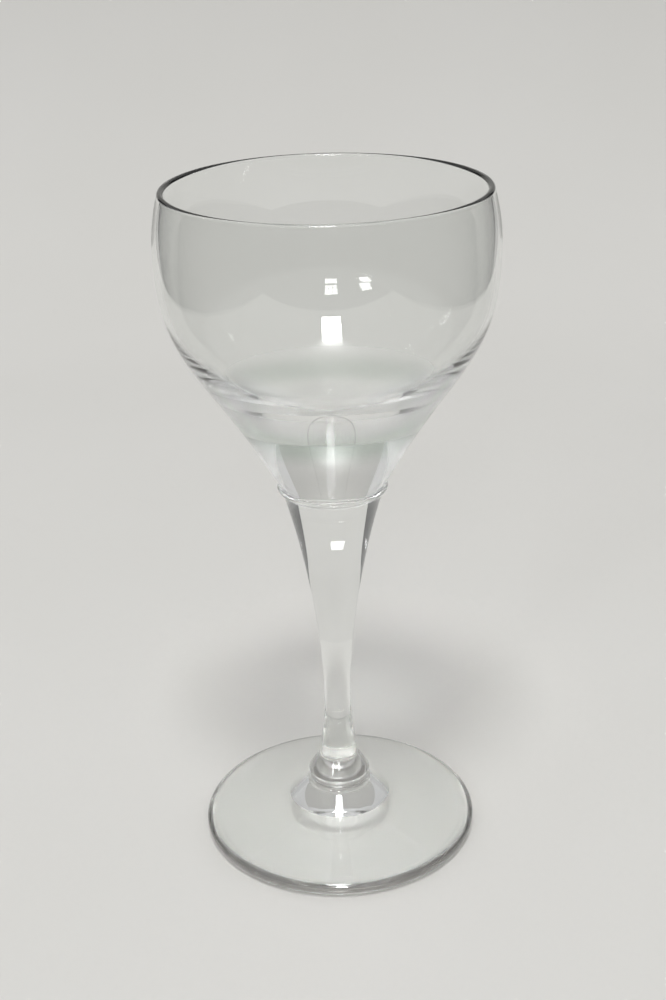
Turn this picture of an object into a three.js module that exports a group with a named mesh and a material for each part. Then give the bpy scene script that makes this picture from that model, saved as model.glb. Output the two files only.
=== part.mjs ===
// Stemmed schnapps glass of clear soda glass, in millimetres, +Z up.
// It is hot-worked from four gathers of glass: a foot, a collar, a stem and a bowl, each fused to the next.
// The origin is the centre of the ring that the foot stands on.

import * as THREE from 'three';

// Foot: a round plate that rises to a domed boss, hollow underneath
const footDiameter = 47.8;
const footEdgeThickness = 3.0;
const footEdgeHeight = 1.9;
const footEdgeRounding = 1.5;
const footHeight = 10.4;
const bossDiameter = 17.8;
const bossRingHeight = 6.0;
const bossConeTopDiameter = 11.8;
const bossTopDiameter = 10.6;
const standingRingDiameter = 44.0;
const standingRingWidth = 1.2;
const hollowDepth = 2.4;

// Collar: a small conical bead between the foot and the stem
const collarHeight = 3.4;
const collarDiameter = 10.7;
const collarTopDiameter = 7.2;
const collarLipRounding = 0.4;
const collarTopRounding = 0.25;

// Stem: a solid trumpet, narrowest near the foot
const stemHeight = 52.0;
const stemBottomDiameter = 6.6;
const waistDiameter = 4.3;
const waistHeight = 14.2;
const stemTopDiameter = 18.3;
const stemThroatDiameter = 16.7;
const stemLipHeight = 1.2;
const stemLipRounding = 0.35;

// Bowl: a thin blown cup on a thick solid cone
const bowlHeight = 49.2;
const bowlDiameter = 54.1;
const rimDiameter = 51.6;
const rimWall = 1.05;
const widestBelowRim = 9.6;
const bowlSeatDiameter = 17.3;
const bowlWall = 1.1;
const solidBaseHeight = 13.2;
const kneeDiameter = 34.4;
const kneeHeight = 18.2;

// How full each curve is: the reach of its handles, as shares of the height or radius that it spans
const coneFlare = 0.53;
const coneReach = 0.545;
const shoulderReach = 0.435;
const rimReach = 0.35;
const cavitySideReach = 0.5;
const cavityWallReach = 0.3;
const cavityFloorReach = 0.5;
const cavityMiddleReach = 0.45;
const waistLowerReach = 0.3;
const waistUpperReach = 0.37;
const throatFlare = 0.33;
const throatReach = 0.13;
const bossReach = 0.4;
const edgeReach = 0.55;
const plateReach = 0.4;
const hollowReach = 0.5;

// Leans in degrees from upright: the cavity at its knee and at its middle, the cone of the boss
const kneeLean = 45.5;
const floorLean = 87.0;
const bossLean = 50.0;

// Fineness of the surfaces
const turnSegments = 48;
const longCurveSteps = 12;
const shortCurveSteps = 6;
const roundingSteps = 3;

const collarZ = footHeight;
const stemZ = collarZ + collarHeight;
const bowlZ = stemZ + stemHeight;

// A point of an outline: distance from the axis, then height.
function at(radius, height) {
  return new THREE.Vector2(radius, height);
}

// Points along a cubic curve between two points, each with a handle that the curve leaves or meets along.
function curve(start, startHandle, endHandle, end, steps) {
  return new THREE.CubicBezierCurve(start, startHandle, endHandle, end).getPoints(steps);
}

// Points along a circular rounding, by its centre, radius and two angles in degrees.
function rounding(centre, radius, fromDegrees, toDegrees, steps = roundingSteps) {
  const from = THREE.MathUtils.degToRad(fromDegrees);
  const to = THREE.MathUtils.degToRad(toDegrees);
  const clockwise = to < from;
  return new THREE.EllipseCurve(centre.x, centre.y, radius, radius, from, to, clockwise).getPoints(steps);
}

// A solid turned round the upright axis. Its outline starts and ends on that axis.
function turned(name, outline, baseHeight, material) {
  const geometry = new THREE.LatheGeometry(outline, turnSegments);
  geometry.rotateX(Math.PI / 2);
  const mesh = new THREE.Mesh(geometry, material);
  mesh.name = name;
  mesh.position.z = baseHeight;
  return mesh;
}

// Clear glass, with the faint green grey that shows where it is thick.
function clearGlass(colour) {
  return new THREE.MeshStandardMaterial({
    color: colour,
    roughness: 0.03,
    metalness: 0,
    transparent: true,
    opacity: 0.35
  });
}

function footOutline() {
  const edge = footDiameter / 2;
  const ringOuter = standingRingDiameter / 2;
  const ringInner = ringOuter - standingRingWidth;
  const plateStart = at(edge - footEdgeRounding, footEdgeThickness);
  const boss = bossDiameter / 2;
  const bossTop = bossTopDiameter / 2;
  const bossFlare = Math.tan(THREE.MathUtils.degToRad(bossLean));
  const coneTop = bossConeTopDiameter / 2;
  const coneTopHeight = bossRingHeight + (boss - coneTop) / bossFlare;
  const neckPull = (footHeight - coneTopHeight) * bossReach;
  const plateSpan = plateStart.x - boss;
  const plateSlope = (bossRingHeight - footEdgeThickness) / plateSpan;
  const edgeMiddle = at(edge, footEdgeHeight);
  const edgeRise = footEdgeThickness - footEdgeHeight;
  return [
    ...curve(
      at(0, hollowDepth),
      at(ringInner * hollowReach, hollowDepth),
      at(ringInner * (1 - hollowReach / 2), hollowDepth / 4),
      at(ringInner, 0),
      shortCurveSteps
    ),
    ...curve(
      at(ringOuter, 0),
      at(ringOuter + (edge - ringOuter) * edgeReach, 0),
      at(edge, footEdgeHeight * (1 - edgeReach)),
      edgeMiddle,
      roundingSteps
    ),
    ...curve(
      edgeMiddle,
      at(edge, footEdgeHeight + edgeRise * edgeReach),
      at(plateStart.x + footEdgeRounding * (1 - edgeReach), footEdgeThickness),
      plateStart,
      roundingSteps
    ).slice(1),
    ...curve(
      plateStart,
      at(plateStart.x - plateSpan * plateReach, footEdgeThickness + plateSpan * plateReach * plateSlope),
      at(boss + plateSpan * plateReach, bossRingHeight - plateSpan * plateReach * plateSlope),
      at(boss, bossRingHeight),
      shortCurveSteps
    ).slice(1),
    ...curve(
      at(coneTop, coneTopHeight),
      at(coneTop - neckPull * bossFlare / 2, coneTopHeight + neckPull / 2),
      at(bossTop, footHeight - neckPull),
      at(bossTop, footHeight),
      shortCurveSteps
    ),
    at(0, footHeight)
  ];
}

function collarOutline() {
  const lipCentre = at(collarDiameter / 2 - collarLipRounding, collarLipRounding);
  const topCentre = at(collarTopDiameter / 2 - collarTopRounding, collarHeight - collarTopRounding);
  const coneDegrees = THREE.MathUtils.radToDeg(
    Math.atan2(lipCentre.x - topCentre.x, topCentre.y - lipCentre.y)
  );
  return [
    at(0, 0),
    ...rounding(lipCentre, collarLipRounding, -90, coneDegrees, 2 * roundingSteps),
    ...rounding(topCentre, collarTopRounding, coneDegrees, 90),
    at(0, collarHeight)
  ];
}

function stemOutline() {
  const waist = at(waistDiameter / 2, waistHeight);
  const throat = at(stemThroatDiameter / 2, stemHeight - stemLipHeight);
  const upperSpan = throat.y - waist.y;
  const lipCentre = at(stemTopDiameter / 2 - stemLipRounding, stemHeight - stemLipRounding);
  return [
    at(0, 0),
    ...curve(
      at(stemBottomDiameter / 2, 0),
      at(stemBottomDiameter / 2, waistHeight / 2),
      at(waist.x, waistHeight * (1 - waistLowerReach)),
      waist,
      shortCurveSteps
    ),
    ...curve(
      waist,
      at(waist.x, waist.y + upperSpan * waistUpperReach),
      at(throat.x - throatFlare * upperSpan * throatReach, throat.y - upperSpan * throatReach),
      throat,
      longCurveSteps
    ).slice(1),
    ...rounding(lipCentre, stemLipRounding, -30, 90),
    at(0, stemHeight)
  ];
}

function bowlOutline() {
  const widest = at(bowlDiameter / 2, bowlHeight - widestBelowRim);
  const seat = at(bowlSeatDiameter / 2, 0);
  const rimCentre = at(rimDiameter / 2 - rimWall / 2, bowlHeight - rimWall / 2);
  const rimOuter = at(rimDiameter / 2, rimCentre.y);
  const rimInner = at(rimDiameter / 2 - rimWall, rimCentre.y);
  const cavityWidest = at(widest.x - bowlWall, widest.y);
  const knee = at(kneeDiameter / 2, kneeHeight);
  const kneeFall = widest.y - knee.y;
  const wallPull = kneeFall * cavityWallReach;
  const floorPull = knee.x * cavityFloorReach;
  const middle = knee.x * cavityMiddleReach;
  const lean = THREE.MathUtils.degToRad(kneeLean);
  const middleRise = middle / Math.tan(THREE.MathUtils.degToRad(floorLean));
  const rimSpan = rimCentre.y - widest.y;
  const rimLean = (widest.x - rimOuter.x) / rimSpan;
  const rimPull = rimSpan * rimReach;
  return [
    at(0, 0),
    ...curve(
      seat,
      at(seat.x + coneFlare * widest.y * coneReach, widest.y * coneReach),
      at(widest.x, widest.y * (1 - shoulderReach)),
      widest,
      longCurveSteps
    ),
    ...curve(
      widest,
      at(widest.x, widest.y + rimPull),
      at(rimOuter.x + 2 * rimLean * rimPull, rimOuter.y - rimPull),
      rimOuter,
      shortCurveSteps
    ).slice(1),
    ...rounding(rimCentre, rimWall / 2, 0, 180, 2 * roundingSteps).slice(1),
    ...curve(
      rimInner,
      at(rimInner.x + 2 * rimLean * rimPull, rimInner.y - rimPull),
      at(cavityWidest.x, cavityWidest.y + rimPull),
      cavityWidest,
      shortCurveSteps
    ).slice(1),
    ...curve(
      cavityWidest,
      at(cavityWidest.x, cavityWidest.y - kneeFall * cavitySideReach),
      at(knee.x + wallPull * Math.tan(lean), knee.y + wallPull),
      knee,
      longCurveSteps
    ).slice(1),
    ...curve(
      knee,
      at(knee.x - floorPull * Math.sin(lean), knee.y - floorPull * Math.cos(lean)),
      at(middle, solidBaseHeight + middleRise),
      at(0, solidBaseHeight),
      shortCurveSteps
    ).slice(1)
  ];
}

const glass = new THREE.Group();
glass.add(turned('foot', footOutline(), 0, clearGlass(0xdfe3dc)));
glass.add(turned('collar', collarOutline(), collarZ, clearGlass(0xd8dcd6)));
glass.add(turned('stem', stemOutline(), stemZ, clearGlass(0xdde1da)));
glass.add(turned('bowl', bowlOutline(), bowlZ, clearGlass(0xdce3da)));

export default glass;
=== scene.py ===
# Looks for a small stemmed schnapps glass: four pieces of clear glass, fused hot, on a pale paper sweep.
# Lengths in the dictionaries are millimetres and angles are degrees; Blender gets metres and radians.
import math
import bpy
import numpy as np
from mathutils import Matrix, Vector


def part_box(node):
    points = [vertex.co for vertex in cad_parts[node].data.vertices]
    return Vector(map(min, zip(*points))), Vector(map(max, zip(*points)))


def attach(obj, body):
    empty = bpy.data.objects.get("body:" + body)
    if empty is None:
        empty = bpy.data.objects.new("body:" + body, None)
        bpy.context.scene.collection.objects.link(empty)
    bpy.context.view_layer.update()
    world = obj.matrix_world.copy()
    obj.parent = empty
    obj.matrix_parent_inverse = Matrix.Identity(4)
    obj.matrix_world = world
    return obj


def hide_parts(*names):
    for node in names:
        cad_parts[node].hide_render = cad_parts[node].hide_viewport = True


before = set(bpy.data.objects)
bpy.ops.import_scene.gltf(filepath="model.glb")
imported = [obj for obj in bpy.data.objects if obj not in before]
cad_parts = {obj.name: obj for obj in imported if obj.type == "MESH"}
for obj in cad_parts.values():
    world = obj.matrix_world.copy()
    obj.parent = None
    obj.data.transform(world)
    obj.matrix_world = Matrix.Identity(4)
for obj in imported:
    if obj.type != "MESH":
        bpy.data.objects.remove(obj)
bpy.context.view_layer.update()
mm = 0.001
print("frame loaded:", sorted(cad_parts))


def linearColour(hexText):
    # sRGB hex to the linear values that shaders want
    srgb = [int(hexText[i:i + 2], 16) / 255 for i in (1, 3, 5)]
    return [c / 12.92 if c <= 0.04045 else ((c + 0.055) / 1.055) ** 2.4 for c in srgb] + [1.0]


def level(node, top):
    # height of a CAD node's lowest or highest point, in mm
    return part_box(node)[1 if top else 0].z / mm


def radius(node):
    # largest radius of a CAD node, in mm
    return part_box(node)[1].x / mm


# Camera: at the photograph's distance, tilt and roll, found from the ellipses of rim, joint and foot
camera = {
    "lens": 56.05,
    "back": 236.6,
    "height": 165.7,
    "tiltDown": 23.53,
    "roll": -1.33,
    "sensorWidth": 36.0,
    "nearest": 10.0,
}


def makeCamera():
    # ahead is level turned down by the tilt; right and up are then turned round it by the roll
    tilt = math.radians(camera["tiltDown"])
    roll = math.radians(camera["roll"])
    levelRight = Vector((1, 0, 0))
    levelUp = Vector((0, math.sin(tilt), math.cos(tilt)))
    ahead = Vector((0, math.cos(tilt), -math.sin(tilt)))
    right = math.cos(roll) * levelRight + math.sin(roll) * levelUp
    up = math.cos(roll) * levelUp - math.sin(roll) * levelRight
    data = bpy.data.cameras.new("photoCamera")
    data.lens = camera["lens"]
    data.sensor_width = camera["sensorWidth"]
    data.clip_start = camera["nearest"] * mm
    made = bpy.data.objects.new("photoCamera", data)
    bpy.context.scene.collection.objects.link(made)
    turn = Matrix((right, up, -ahead)).transposed().to_4x4()
    made.matrix_world = Matrix.Translation((0, -camera["back"] * mm, camera["height"] * mm)) @ turn
    bpy.context.scene.camera = made


makeCamera()
print("camera placed")


def addNode(tree, kind, settings=None, links=None):
    # one shader node: settings by input name, input number or property, links from the sockets that feed it
    node = tree.nodes.new(kind)
    for key, value in (settings or {}).items():
        if isinstance(key, int) or key in node.inputs:
            node.inputs[key].default_value = value
        else:
            setattr(node, key, value)
    for key, socket in (links or {}).items():
        tree.links.new(socket, node.inputs[key])
    return node


# Socket numbers of a Mix node that mixes colours: its two colours and its result
firstColour, secondColour, mixedColour = 6, 7, 2


def emptyMaterial(name):
    made = bpy.data.materials.new(name)
    made.use_nodes = True
    made.node_tree.nodes.clear()
    return made, made.node_tree


# Glass: soda-lime, nearly colourless in a thin wall and faintly green where it is thick. The heights of the
# thick tint and of the soft floor are over the bowl's seat. The edge colour is painted shade on the upper
# side of the foot's rim, placed by its radius and height. The widths are those of the ripples in blown glass,
# on the chilled floor and across the drawn stem.
glass = {
    "ior": 1.52,
    "clear": "#FAFBFA",
    "thick": "#D0DAD2",
    "thickFrom": [7.0, 12.0],
    "thickTo": [13.5, 16.5],
    # painted shade: the darker tint put on the upper side of the foot's rim
    "edge": "#989693",
    "edgeShadeFrom": [23.1, 23.6],
    "edgeShadeAbove": [0.8, 1.4],
    "rippleWidth": 7.0,
    "rippleDetail": 1.0,
    "rippleDepth": 0.002,
    "chillWidth": 1.75,
    "chillDetail": 2.0,
    "cordWidth": 2.333,
    "cordSquash": 0.12,
    "ringSpacing": 22.0,
    "ringWaver": 2.0,
    "floorRoughness": 0.65,
    "roughBelow": 20.0,
    "roughBlend": 4.0,
}


def glassShader(tree, height):
    # clear glass; height is the small relief that working the hot glass leaves
    depth = glass["rippleDepth"] * mm
    bump = addNode(tree, "ShaderNodeBump", {"Strength": 1.0, "Distance": depth}, {"Height": height})
    shader = addNode(tree, "ShaderNodeBsdfPrincipled",
                     {"Base Color": linearColour(glass["clear"]), "Roughness": 0.0,
                      "IOR": glass["ior"], "Transmission Weight": 1.0},
                     {"Normal": bump.outputs[0]})
    addNode(tree, "ShaderNodeOutputMaterial", {}, {"Surface": shader.outputs[0]})
    return shader


def blownGlass():
    # Soda glass blown in a mould and fire polished: smooth, with broad soft ripples and clear walls,
    # and a faint green where the cone is solid and wide.
    made, tree = emptyMaterial("blownSodaGlass")
    place = addNode(tree, "ShaderNodeTexCoord")
    parts = addNode(tree, "ShaderNodeSeparateXYZ", {}, {0: place.outputs["Object"]})
    low = level("bowl", False)
    riseStart, riseEnd = [(low + h) * mm for h in glass["thickFrom"]]
    fallStart, fallEnd = [(low + h) * mm for h in glass["thickTo"]]
    rise = addNode(tree, "ShaderNodeMapRange",
                   {"interpolation_type": "SMOOTHSTEP", "From Min": riseStart, "From Max": riseEnd},
                   {"Value": parts.outputs["Z"]})
    fall = addNode(tree, "ShaderNodeMapRange",
                   {"interpolation_type": "SMOOTHSTEP", "From Min": fallEnd, "From Max": fallStart},
                   {"Value": parts.outputs["Z"]})
    share = addNode(tree, "ShaderNodeMath", {"operation": "MULTIPLY"},
                    {0: rise.outputs[0], 1: fall.outputs[0]})
    tint = addNode(tree, "ShaderNodeMix",
                   {"data_type": "RGBA", firstColour: linearColour(glass["clear"]),
                    secondColour: linearColour(glass["thick"])},
                   {"Factor": share.outputs[0]})
    ripple = addNode(tree, "ShaderNodeTexNoise",
                     {"Scale": 1 / (glass["rippleWidth"] * mm), "Detail": glass["rippleDetail"]},
                     {"Vector": place.outputs["Object"]})
    shader = glassShader(tree, ripple.outputs["Fac"])
    tree.links.new(tint.outputs[mixedColour], shader.inputs["Base Color"])
    return made


def chilledGlass():
    # The cavity from its widest part down. The plunger chilled its floor and the fire never polished it, so
    # the floor stays soft to look through, with a close ripple.
    made, tree = emptyMaterial("chilledSodaGlass")
    place = addNode(tree, "ShaderNodeTexCoord")
    ripple = addNode(tree, "ShaderNodeTexNoise",
                     {"Scale": 1 / (glass["chillWidth"] * mm), "Detail": glass["chillDetail"]},
                     {"Vector": place.outputs["Object"]})
    parts = addNode(tree, "ShaderNodeSeparateXYZ", {}, {0: place.outputs["Object"]})
    start = level("bowl", False) + glass["roughBelow"]
    depth = addNode(tree, "ShaderNodeMapRange",
                    {"interpolation_type": "SMOOTHSTEP", "From Min": start * mm,
                     "From Max": (start - glass["roughBlend"]) * mm},
                    {"Value": parts.outputs["Z"]})
    rough = addNode(tree, "ShaderNodeMath", {"operation": "MULTIPLY", 1: glass["floorRoughness"]},
                    {0: depth.outputs[0]})
    shader = glassShader(tree, ripple.outputs["Fac"])
    tree.links.new(rough.outputs[0], shader.inputs["Roughness"])
    return made


def drawnGlass():
    # Soda glass drawn out by hand into a stem: fine cords run along it, so the ripples are long and upright.
    made, tree = emptyMaterial("drawnSodaGlass")
    place = addNode(tree, "ShaderNodeTexCoord")
    along = addNode(tree, "ShaderNodeMapping", {"Scale": (1, 1, glass["cordSquash"])},
                    {"Vector": place.outputs["Object"]})
    ripple = addNode(tree, "ShaderNodeTexNoise",
                     {"Scale": 1 / (glass["cordWidth"] * mm), "Detail": glass["rippleDetail"]},
                     {"Vector": along.outputs[0]})
    glassShader(tree, ripple.outputs["Fac"])
    return made


def spunGlass():
    # Soda glass opened into a plate while it spins: the tool leaves a faint, broad wave round the axis. The
    # upper
    # side of the rim is tinted darker: painted shade standing for the dark that the rounded rim shows.
    made, tree = emptyMaterial("spunSodaGlassShadedRim")
    place = addNode(tree, "ShaderNodeTexCoord")
    # at a scale of 1 the rings lie pi / 10 apart
    rings = addNode(tree, "ShaderNodeTexWave",
                    {"wave_type": "RINGS", "rings_direction": "Z",
                     "Scale": math.pi / 10 / (glass["ringSpacing"] * mm),
                     "Distortion": glass["ringWaver"], "Detail": glass["rippleDetail"]},
                    {"Vector": place.outputs["Object"]})
    onPlate = addNode(tree, "ShaderNodeVectorMath", {"operation": "MULTIPLY", 1: (1, 1, 0)},
                      {0: place.outputs["Object"]})
    away = addNode(tree, "ShaderNodeVectorMath", {"operation": "LENGTH"}, {0: onPlate.outputs[0]})
    parts = addNode(tree, "ShaderNodeSeparateXYZ", {}, {0: place.outputs["Object"]})
    # painted shade: the rim is darker past the edge radius and over the edge height
    outside = addNode(tree, "ShaderNodeMapRange",
                      {"interpolation_type": "SMOOTHSTEP", "From Min": glass["edgeShadeFrom"][0] * mm,
                       "From Max": glass["edgeShadeFrom"][1] * mm},
                      {"Value": away.outputs["Value"]})
    above = addNode(tree, "ShaderNodeMapRange",
                    {"interpolation_type": "SMOOTHSTEP", "From Min": glass["edgeShadeAbove"][0] * mm,
                     "From Max": glass["edgeShadeAbove"][1] * mm},
                    {"Value": parts.outputs["Z"]})
    share = addNode(tree, "ShaderNodeMath", {"operation": "MULTIPLY"},
                    {0: outside.outputs[0], 1: above.outputs[0]})
    tint = addNode(tree, "ShaderNodeMix",
                   {"data_type": "RGBA", firstColour: linearColour(glass["clear"]),
                    secondColour: linearColour(glass["edge"])},
                   {"Factor": share.outputs[0]})
    shader = glassShader(tree, rings.outputs["Fac"])
    tree.links.new(tint.outputs[mixedColour], shader.inputs["Base Color"])
    return made


def fusedGlass():
    # The face where one gather of hot glass took up the next: it has no surface left, so nothing shows there.
    made, tree = emptyMaterial("fusedJoint")
    shader = addNode(tree, "ShaderNodeBsdfTransparent")
    addNode(tree, "ShaderNodeOutputMaterial", {}, {"Surface": shader.outputs[0]})
    return made


def bezier(start, startHandle, endHandle, end, count):
    # (1-t)^3 start + 3(1-t)^2 t startHandle + 3(1-t) t^2 endHandle + t^3 end, for t from 0 to 1
    t = np.linspace(0, 1, count)[:, None]
    points = np.array([start, startHandle, endHandle, end], float)
    shares = np.hstack([(1 - t) ** 3, 3 * (1 - t) ** 2 * t, 3 * (1 - t) * t ** 2, t ** 3])
    return shares @ points


def arc(centre, size, fromDegrees, toDegrees, count):
    # centre + size (cos a, sin a), for a from one angle to the other
    a = np.radians(np.linspace(fromDegrees, toDegrees, count))
    return np.column_stack([centre[0] + size * np.cos(a), centre[1] + size * np.sin(a)])


# Points along a level line: across a joint, and across a narrow ledge beside one
jointPoints = 6
ledgePoints = 3


def flat(fromRadius, toRadius, height, count=jointPoints):
    # a level line from one radius to another
    return np.column_stack([np.linspace(fromRadius, toRadius, count), np.full(count, height)])


# Numbers of the finishes: worked glass, a fused joint, the chilled part of the cavity
worked, fused, chilled = range(3)

# A corner that turns by more degrees than this keeps a sharp edge
sharpFrom = 25


def turnedPiece(name, stretches, sides, finishes):
    # An outline (radius r, height h) turned round the upright axis: x = r cos a, y = r sin a, z = h.
    # Each stretch is (points, number of its finish). The two ends on the axis are single points.
    rows = [points if i == 0 else points[1:] for i, (points, _) in enumerate(stretches)]
    slot = np.repeat([number for _, number in stretches], [len(row) for row in rows])
    outline = np.vstack(rows) * mm
    turn = np.linspace(0, 2 * np.pi, sides, endpoint=False)
    inner = outline[1:-1]
    x = inner[:, :1] * np.cos(turn)
    y = inner[:, :1] * np.sin(turn)
    z = np.repeat(inner[:, 1:], sides, axis=1)
    grid = np.stack([x, y, z], axis=2).reshape(-1, 3)
    ends = np.array([[0, 0, outline[0, 1]], [0, 0, outline[-1, 1]]])
    corners = np.vstack([grid, ends])
    ring = np.arange(sides)
    after = (ring + 1) % sides
    first = np.arange(len(inner) - 1)[:, None] * sides
    quads = np.stack([first + ring, first + after, first + sides + after, first + sides + ring], axis=2)
    last = (len(inner) - 1) * sides
    bottomFan = np.column_stack([np.full(sides, len(grid)), after, ring])
    topFan = np.column_stack([np.full(sides, len(grid) + 1), last + ring, last + after])
    mesh = bpy.data.meshes.new(name)
    faces = np.vstack([bottomFan, topFan]).tolist() + quads.reshape(-1, 4).tolist()
    mesh.from_pydata(corners.tolist(), [], faces)
    slots = np.concatenate([np.full(sides, slot[1]), np.full(sides, slot[-1]), np.repeat(slot[2:-1], sides)])
    for finish in finishes:
        mesh.materials.append(finish)
    mesh.polygons.foreach_set("material_index", slots.astype(np.int32))
    mesh.polygons.foreach_set("use_smooth", np.ones(len(slots), bool))
    mesh.set_sharp_from_angle(angle=math.radians(sharpFrom))
    mesh.update()
    made = bpy.data.objects.new(name, mesh)
    bpy.context.scene.collection.objects.link(made)
    return made


# Bowl: thin cup on a solid cone. A reach is how far a curve's handle goes, as a share of the height or radius
# that the curve spans. A flare is how much the radius grows for each millimetre up.
bowl = {
    "seatRadius": 8.65,
    "rimRadius": 25.8,
    "rimWall": 1.05,
    "wall": 1.1,
    "widestBelowRim": 9.6,
    "solidBase": 13.2,
    "coneFlare": 0.53,
    "coneReach": 0.545,
    "shoulderReach": 0.435,
    "rimReach": 0.35,
    "sideReach": 0.5,
    "wallReach": 0.3,
    "kneeRadius": 17.2,
    "kneeHeight": 18.2,
    "kneeLean": 45.5,
    "floorReach": 0.5,
    "middleReach": 0.45,
    "floorLean": 87.0,
    "conePoints": 110,
    "rimPoints": 30,
    "roundingPoints": 25,
    "cavityPoints": 90,
    "sides": 256,
}


def bowlStretches():
    # from the axis under the seat, out and up the cone, over the rim and down the cavity to the axis
    low = level("bowl", False)
    top = level("bowl", True)
    wide = radius("bowl")
    widest = top - bowl["widestBelowRim"]
    rise = widest - low
    seat = bowl["seatRadius"]
    outRim = bowl["rimRadius"]
    inRim = outRim - bowl["rimWall"]
    inWide = wide - bowl["wall"]
    rimMiddle = (outRim - bowl["rimWall"] / 2, top - bowl["rimWall"] / 2)
    span = rimMiddle[1] - widest
    rimLean = (wide - outRim) / span
    pull = span * bowl["rimReach"]
    coneRise = rise * bowl["coneReach"]
    cone = bezier((seat, low), (seat + bowl["coneFlare"] * coneRise, low + coneRise),
                  (wide, widest - rise * bowl["shoulderReach"]), (wide, widest), bowl["conePoints"])
    outside = bezier((wide, widest), (wide, widest + pull),
                     (outRim + 2 * rimLean * pull, rimMiddle[1] - pull), (outRim, rimMiddle[1]),
                     bowl["rimPoints"])
    inside = bezier((inRim, rimMiddle[1]), (inRim + 2 * rimLean * pull, rimMiddle[1] - pull),
                    (inWide, widest + pull), (inWide, widest), bowl["rimPoints"])
    # the cavity turns from its wall to its rounded floor at the knee, leaning the same on both sides of it
    lean = math.radians(bowl["kneeLean"])
    knee = (bowl["kneeRadius"], low + bowl["kneeHeight"])
    fall = widest - knee[1]
    wallPull = fall * bowl["wallReach"]
    wall = bezier((inWide, widest), (inWide, widest - fall * bowl["sideReach"]),
                  (knee[0] + wallPull * math.tan(lean), knee[1] + wallPull), knee, bowl["cavityPoints"])
    floor = low + bowl["solidBase"]
    floorPull = knee[0] * bowl["floorReach"]
    middle = knee[0] * bowl["middleReach"]
    middleRise = middle / math.tan(math.radians(bowl["floorLean"]))
    bottom = bezier(knee, (knee[0] - floorPull * math.sin(lean), knee[1] - floorPull * math.cos(lean)),
                    (middle, floor + middleRise), (0, floor), bowl["cavityPoints"])
    return [
        (flat(0, seat, low), fused),
        (cone, worked),
        (outside, worked),
        (arc(rimMiddle, bowl["rimWall"] / 2, 0, 180, bowl["roundingPoints"]), worked),
        (inside, worked),
        (wall, chilled),
        (bottom, chilled),
    ]


# Stem: solid trumpet
stem = {
    "bottomRadius": 3.05,
    "waistRadius": 2.3,
    "waistHeight": 10.0,
    "throatRadius": 8.35,
    "lipHeight": 1.2,
    "lipRounding": 0.35,
    "lipStart": -30,
    "waistLowerReach": 0.45,
    "waistUpperReach": 0.46,
    "throatFlare": 0.33,
    "throatReach": 0.13,
    "anklePoints": 50,
    "trumpetPoints": 110,
    "lipPoints": 14,
    "sides": 192,
}


def stemStretches():
    # from the axis, up the ankle and the trumpet, round the lip and back to the axis
    low = level("stem", False)
    top = level("stem", True)
    waist = (stem["waistRadius"], low + stem["waistHeight"])
    throat = (stem["throatRadius"], top - stem["lipHeight"])
    upper = throat[1] - waist[1]
    lip = (radius("stem") - stem["lipRounding"], top - stem["lipRounding"])
    ankle = bezier((stem["bottomRadius"], low), (stem["bottomRadius"], low + stem["waistHeight"] / 2),
                   (waist[0], low + stem["waistHeight"] * (1 - stem["waistLowerReach"])), waist,
                   stem["anklePoints"])
    pull = upper * stem["throatReach"]
    trumpet = bezier(waist, (waist[0], waist[1] + upper * stem["waistUpperReach"]),
                     (throat[0] - stem["throatFlare"] * pull, throat[1] - pull), throat,
                     stem["trumpetPoints"])
    edge = arc(lip, stem["lipRounding"], stem["lipStart"], 90, stem["lipPoints"])
    return [
        (flat(0, stem["bottomRadius"], low), fused),
        (ankle, worked),
        (trumpet, worked),
        (np.vstack([[throat], edge]), worked),
        (flat(edge[-1, 0], bowl["seatRadius"], top, ledgePoints), worked),
        (flat(bowl["seatRadius"], 0, top), fused),
    ]


# Collar: conical bead
collar = {
    "topRadius": 3.6,
    "lipRounding": 0.4,
    "topRounding": 0.25,
    "lipPoints": 24,
    "topPoints": 16,
    "sides": 160,
}


def collarStretches():
    # from the axis, round the lip, up the cone, round the top and back to the axis
    low = level("collar", False)
    top = level("collar", True)
    lip = (radius("collar") - collar["lipRounding"], low + collar["lipRounding"])
    upper = (collar["topRadius"] - collar["topRounding"], top - collar["topRounding"])
    cone = math.degrees(math.atan2(lip[0] - upper[0], upper[1] - lip[1]))
    edge = arc(lip, collar["lipRounding"], -90, cone, collar["lipPoints"])
    side = np.vstack([edge[-1:], arc(upper, collar["topRounding"], cone, 90, collar["topPoints"])])
    return [
        (flat(0, lip[0], low), fused),
        (edge, worked),
        (side, worked),
        (flat(upper[0], stem["bottomRadius"], top, ledgePoints), worked),
        (flat(stem["bottomRadius"], 0, top), fused),
    ]


# Foot: plate with a domed boss, hollow underneath
foot = {
    "edgeThickness": 3.0,
    "edgeHeight": 1.9,
    "edgeRounding": 1.5,
    "bossRadius": 8.9,
    "bossRingHeight": 6.0,
    "coneTopRadius": 5.9,
    "bossTopRadius": 5.0,
    "standingRadius": 22.0,
    "standingWidth": 1.2,
    "hollowDepth": 2.4,
    "edgeReach": 0.55,
    "bossReach": 0.4,
    "bossLean": 50.0,
    "plateReach": 0.4,
    "hollowReach": 0.5,
    "hollowPoints": 70,
    "standingPoints": 4,
    "edgePoints": 20,
    "platePoints": 60,
    "conePoints": 20,
    "neckPoints": 30,
    "sides": 224,
}


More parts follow.
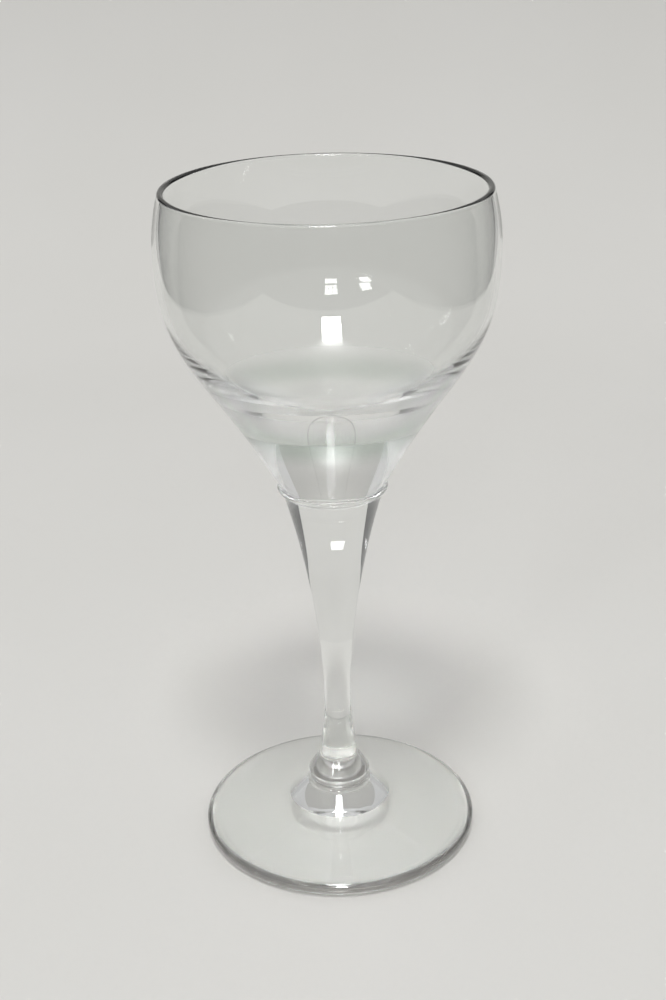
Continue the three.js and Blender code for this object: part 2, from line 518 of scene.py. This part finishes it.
def footStretches():
    # from the axis, along the hollow, round the edge, over the plate, up the boss and back to the axis
    top = level("foot", True)
    edge = radius("foot")
    ringOut = foot["standingRadius"]
    ringIn = ringOut - foot["standingWidth"]
    plate = (edge - foot["edgeRounding"], foot["edgeThickness"])
    boss = (foot["bossRadius"], foot["bossRingHeight"])
    hollow = bezier((0, foot["hollowDepth"]), (ringIn * foot["hollowReach"], foot["hollowDepth"]),
                    (ringIn * (1 - foot["hollowReach"] / 2), foot["hollowDepth"] / 4), (ringIn, 0),
                    foot["hollowPoints"])
    # the edge is two quarter rounds that meet where the foot is widest
    reach = foot["edgeReach"]
    half = foot["edgeHeight"]
    lowOut = ringOut + (edge - ringOut) * reach
    highUp = half + (plate[1] - half) * reach
    highOut = plate[0] + foot["edgeRounding"] * (1 - reach)
    lowerEdge = bezier((ringOut, 0), (lowOut, 0), (edge, half * (1 - reach)), (edge, half),
                       foot["edgePoints"])
    upperEdge = bezier((edge, half), (edge, highUp), (highOut, plate[1]), plate, foot["edgePoints"])
    run = (plate[0] - boss[0]) * foot["plateReach"]
    climb = (boss[1] - plate[1]) * foot["plateReach"]
    plateTop = bezier(plate, (plate[0] - run, plate[1] + climb), (boss[0] + run, boss[1] - climb), boss,
                      foot["platePoints"])
    flare = math.tan(math.radians(foot["bossLean"]))
    coneTop = (foot["coneTopRadius"], boss[1] + (boss[0] - foot["coneTopRadius"]) / flare)
    neckPull = (top - coneTop[1]) * foot["bossReach"]
    neckTop = foot["bossTopRadius"]
    neck = bezier(coneTop, (coneTop[0] - neckPull * flare / 2, coneTop[1] + neckPull / 2),
                  (neckTop, top - neckPull), (neckTop, top), foot["neckPoints"])
    collarSeat = radius("collar") - collar["lipRounding"]
    return [
        (hollow, worked),
        (flat(ringIn, ringOut, 0, foot["standingPoints"]), worked),
        (lowerEdge, worked),
        (upperEdge, worked),
        (plateTop, worked),
        (np.linspace(boss, coneTop, foot["conePoints"]), worked),
        (neck, worked),
        (flat(neckTop, collarSeat, top, ledgePoints), worked),
        (flat(collarSeat, 0, top), fused),
    ]


def makeGlass():
    joint = fusedGlass()
    blown = [blownGlass(), joint, chilledGlass()]
    drawn = [drawnGlass(), joint]
    spun = [spunGlass(), joint]
    pieces = [
        ("bowl", "blownBowl", bowlStretches(), bowl["sides"], blown, "bowl_glass"),
        ("stem", "drawnStem", stemStretches(), stem["sides"], drawn, "stem_glass"),
        ("collar", "collarBead", collarStretches(), collar["sides"], drawn, "stem_glass"),
        ("foot", "spunFoot", footStretches(), foot["sides"], spun, "foot_glass"),
    ]
    for node, name, stretches, sides, finishes, slot in pieces:
        piece = turnedPiece(name, stretches, sides, finishes)
        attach(piece, "root")
        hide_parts(node)
        print("piece made:", name, len(piece.data.polygons), "faces")


makeGlass()

# Paper: one sheet on the table, bent up behind the glass
paper = {
    "light": "#DBDAD7",
    "dark": "#D7D6D2",
    "halfWidth": 260.0,
    "front": 300.0,
    "bendStart": 240.0,
    "bendRadius": 220.0,
    "top": 620.0,
    "below": 0.02,
    "bendPoints": 40,
    "mottleWidth": 71.4,
    "mottleDetail": 3.0,
    "roughness": 0.9,
    "gloss": 0.2,
}


def makePaper():
    # Uncoated paper: fully matt, with a slow mottle
    made, tree = emptyMaterial("mattPaper")
    place = addNode(tree, "ShaderNodeTexCoord")
    mottle = addNode(tree, "ShaderNodeTexNoise",
                     {"Scale": 1 / (paper["mottleWidth"] * mm), "Detail": paper["mottleDetail"]},
                     {"Vector": place.outputs["Object"]})
    tone = addNode(tree, "ShaderNodeMix",
                   {"data_type": "RGBA", firstColour: linearColour(paper["dark"]),
                    secondColour: linearColour(paper["light"])},
                   {"Factor": mottle.outputs["Fac"]})
    shader = addNode(tree, "ShaderNodeBsdfPrincipled",
                     {"Roughness": paper["roughness"], "Specular IOR Level": paper["gloss"]},
                     {"Base Color": tone.outputs[mixedColour]})
    addNode(tree, "ShaderNodeOutputMaterial", {}, {"Surface": shader.outputs[0]})
    # the sheet's side view, from the front edge back and up: y, z
    low = -paper["below"]
    bend = arc((paper["bendStart"], low + paper["bendRadius"]), paper["bendRadius"], -90, 0,
               paper["bendPoints"])
    side = np.vstack([[(-paper["front"], low)], bend, [(bend[-1, 0], paper["top"])]]) * mm
    half = paper["halfWidth"] * mm
    count = len(side)
    corners = np.vstack([np.column_stack([np.full(count, x), side]) for x in (-half, half)])
    i = np.arange(count - 1)
    faces = np.column_stack([i, i + count, i + count + 1, i + 1])
    mesh = bpy.data.meshes.new("paperSheet")
    mesh.from_pydata(corners.tolist(), [], faces.tolist())
    mesh.polygons.foreach_set("use_smooth", np.ones(len(faces), bool))
    mesh.materials.append(made)
    mesh.update()
    sheet = bpy.data.objects.new("paperSheet", mesh)
    bpy.context.scene.collection.objects.link(sheet)


makePaper()
print("paper laid")

# Light: two square panels in the ceiling, far in front of the glass, and a wide lamp over the near side of
# the table
panels = {
    "height": 2100.0,
    "side": 600.0,
    "ahead": 3380.0,
    "across": [-147.0, -1995.0],
    "strength": 16.0,
}

lamp = {
    "height": 2100.0,
    "ahead": 858.0,
    "across": -65.0,
    "width": 480.0,
    "depth": 513.0,
    "strength": 28.0,
}


def hang(name, across, ahead, height, width, depth, strength):
    # a flat lamp that faces down; its energy goes with its area, so its face is as bright at any size
    data = bpy.data.lights.new(name, "AREA")
    data.shape = "RECTANGLE"
    data.size = width * mm
    data.size_y = depth * mm
    data.energy = strength * data.size * data.size_y * math.pi
    hung = bpy.data.objects.new(name, data)
    hung.matrix_world = Matrix.Translation((across * mm, -ahead * mm, height * mm))
    bpy.context.scene.collection.objects.link(hung)


def makeLamps():
    side = panels["side"]
    for across in panels["across"]:
        hang("ceilingPanel", across, panels["ahead"], panels["height"], side, side, panels["strength"])
    hang("tableLamp", lamp["across"], lamp["ahead"], lamp["height"],
         lamp["width"], lamp["depth"], lamp["strength"])


makeLamps()
print("lamps hung")

# Room: the light that comes from each direction, with a ray's rise as 0 for level and 1 for straight up
room = {
    "ceiling": 0.69,
    "walls": 0.15,
    "wallTop": 0.3,
    "wallBlend": 0.05,
    "overhead": 0.2,
    "overheadFrom": 0.6,
}


def makeRoom():
    # darker walls, a pale ceiling, and more light straight overhead
    world = bpy.data.worlds.new("dimRoom")
    bpy.context.scene.world = world
    world.use_nodes = True
    tree = world.node_tree
    tree.nodes.clear()
    way = addNode(tree, "ShaderNodeTexCoord")
    parts = addNode(tree, "ShaderNodeSeparateXYZ", {}, {0: way.outputs["Generated"]})
    edges = (room["wallTop"] - room["wallBlend"], room["wallTop"] + room["wallBlend"])
    spread = addNode(tree, "ShaderNodeMapRange",
                     {"interpolation_type": "SMOOTHSTEP", "From Min": edges[0], "From Max": edges[1],
                      "To Min": room["walls"], "To Max": room["ceiling"]},
                     {"Value": parts.outputs["Z"]})
    overhead = addNode(tree, "ShaderNodeMapRange",
                       {"interpolation_type": "SMOOTHSTEP", "From Min": room["overheadFrom"],
                        "To Max": room["overhead"]},
                       {"Value": parts.outputs["Z"]})
    total = addNode(tree, "ShaderNodeMath", {"operation": "ADD"},
                    {0: spread.outputs[0], 1: overhead.outputs[0]})
    light = addNode(tree, "ShaderNodeBackground", {}, {"Strength": total.outputs[0]})
    addNode(tree, "ShaderNodeOutputWorld", {}, {"Surface": light.outputs[0]})


makeRoom()
print("room lit")

# How many times a ray may meet a surface, enough for it to leave the thick base again
bounces = {
    "any": 24,
    "throughGlass": 24,
    "reflected": 16,
    "throughJoints": 24,
}

view = bpy.context.scene.view_settings
view.view_transform = "Standard"
cycles = bpy.context.scene.cycles
cycles.max_bounces = bounces["any"]
cycles.transmission_bounces = bounces["throughGlass"]
cycles.glossy_bounces = bounces["reflected"]
cycles.transparent_max_bounces = bounces["throughJoints"]
cycles.caustics_reflective = True
cycles.caustics_refractive = True
cycles.blur_glossy = 0.0
cycles.sample_clamp_indirect = 0.0

print("scene ready")
